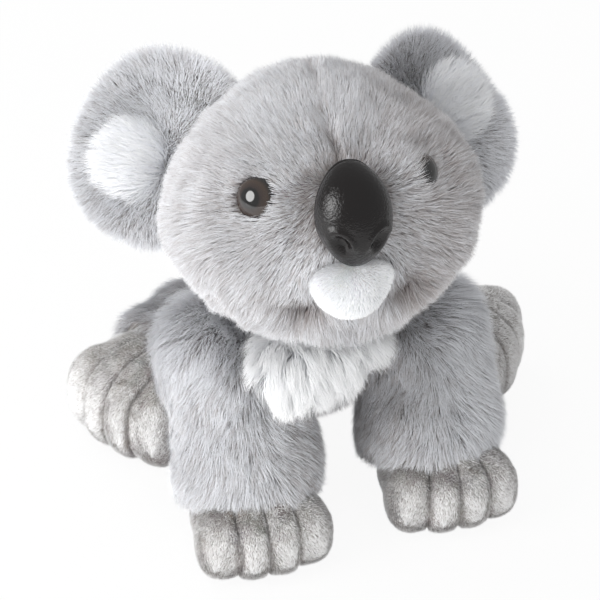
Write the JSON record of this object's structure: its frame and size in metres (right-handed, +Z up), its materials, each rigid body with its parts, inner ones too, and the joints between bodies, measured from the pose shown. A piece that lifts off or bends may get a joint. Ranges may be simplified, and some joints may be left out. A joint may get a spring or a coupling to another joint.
{
  "type": "plush koala",
  "caption": "Plush koala on all fours with long grey pile, round ears, big dark nose; head, ears and legs bend at their seams.",
  "frame": {"origin": "on the floor under the middle of the toy's box", "axes": "+Z up, the toy faces -Y and its right side is towards -X"},
  "size_m": [0.2302, 0.2042, 0.2112],
  "materials": {
    "grey_pile": "matte",
    "paw_pile": "matte",
    "white_pile": "matte",
    "filling": "matte",
    "nose_plastic": "satin",
    "eye_plastic": "gloss",
    "washer_plastic": "matte"
  },
  "bodies": {
    "body": {"body_cover": "grey_pile", "body_filling": "filling", "chest_bib": "white_pile"},
    "neck": {"neck_filling": "filling"},
    "head": {"head_cover": "grey_pile", "head_filling": "filling", "nose": "nose_plastic", "nose_washer": "washer_plastic", "chin_pad": "white_pile", "right_eye": "eye_plastic", "right_eye_washer": "washer_plastic", "left_eye": "eye_plastic", "left_eye_washer": "washer_plastic"},
    "right_ear": {"right_ear": "grey_pile", "right_ear_lining": "white_pile"},
    "left_ear": {"left_ear": "grey_pile", "left_ear_lining": "white_pile"},
    "right_foreleg": {"right_foreleg_cover": "grey_pile", "right_foreleg_paw": "paw_pile", "right_foreleg_filling": "filling"},
    "left_foreleg": {"left_foreleg_cover": "grey_pile", "left_foreleg_paw": "paw_pile", "left_foreleg_filling": "filling"},
    "right_hind_leg": {"right_hind_leg_cover": "grey_pile", "right_hind_leg_paw": "paw_pile", "right_hind_leg_filling": "filling"},
    "left_hind_leg": {"left_hind_leg_cover": "grey_pile", "left_hind_leg_paw": "paw_pile", "left_hind_leg_filling": "filling"}
  },
  "joints": [
    {"name": "neck_turn", "type": "hinge", "parent": "body", "child": "neck", "pos_m": [-0.007, 0.00411, 0.097], "axis": [0, 0, 1], "range_deg": [-30, 30], "stiffness_Nm_per_rad": 1.5},
    {"name": "head_nod", "type": "hinge", "parent": "neck", "child": "head", "pos_m": [-0.007, 0.00411, 0.097], "axis": [1, 0, 0], "range_deg": [-14, 5], "stiffness_Nm_per_rad": 3},
    {"name": "right_ear_fold", "type": "hinge", "parent": "head", "child": "right_ear", "pos_m": [-0.05952, 0.00359, 0.15935], "axis": [0.5105, 0.3138, 0.8006], "range_deg": [-18, 18], "stiffness_Nm_per_rad": 0.5},
    {"name": "left_ear_fold", "type": "hinge", "parent": "head", "child": "left_ear", "pos_m": [0.03619, -0.0031, 0.1627], "axis": [-0.5164, 0.3856, 0.7646], "range_deg": [-18, 18], "stiffness_Nm_per_rad": 0.5},
    {"name": "right_shoulder", "type": "hinge", "parent": "body", "child": "right_foreleg", "pos_m": [-0.049, -0.02789, 0.057], "axis": [1, 0, 0], "range_deg": [-24, 8], "stiffness_Nm_per_rad": 3},
    {"name": "left_shoulder", "type": "hinge", "parent": "body", "child": "left_foreleg", "pos_m": [0.037, -0.01989, 0.057], "axis": [1, 0, 0], "range_deg": [-24, 8], "stiffness_Nm_per_rad": 3},
    {"name": "right_hip", "type": "hinge", "parent": "body", "child": "right_hind_leg", "pos_m": [-0.045, 0.0601, 0.03], "axis": [0, 0, -1], "range_deg": [-5, 20], "stiffness_Nm_per_rad": 2},
    {"name": "left_hip", "type": "hinge", "parent": "body", "child": "left_hind_leg", "pos_m": [0.045, 0.0601, 0.03], "axis": [0, 0, 1], "range_deg": [-5, 20], "stiffness_Nm_per_rad": 2}
  ]
}
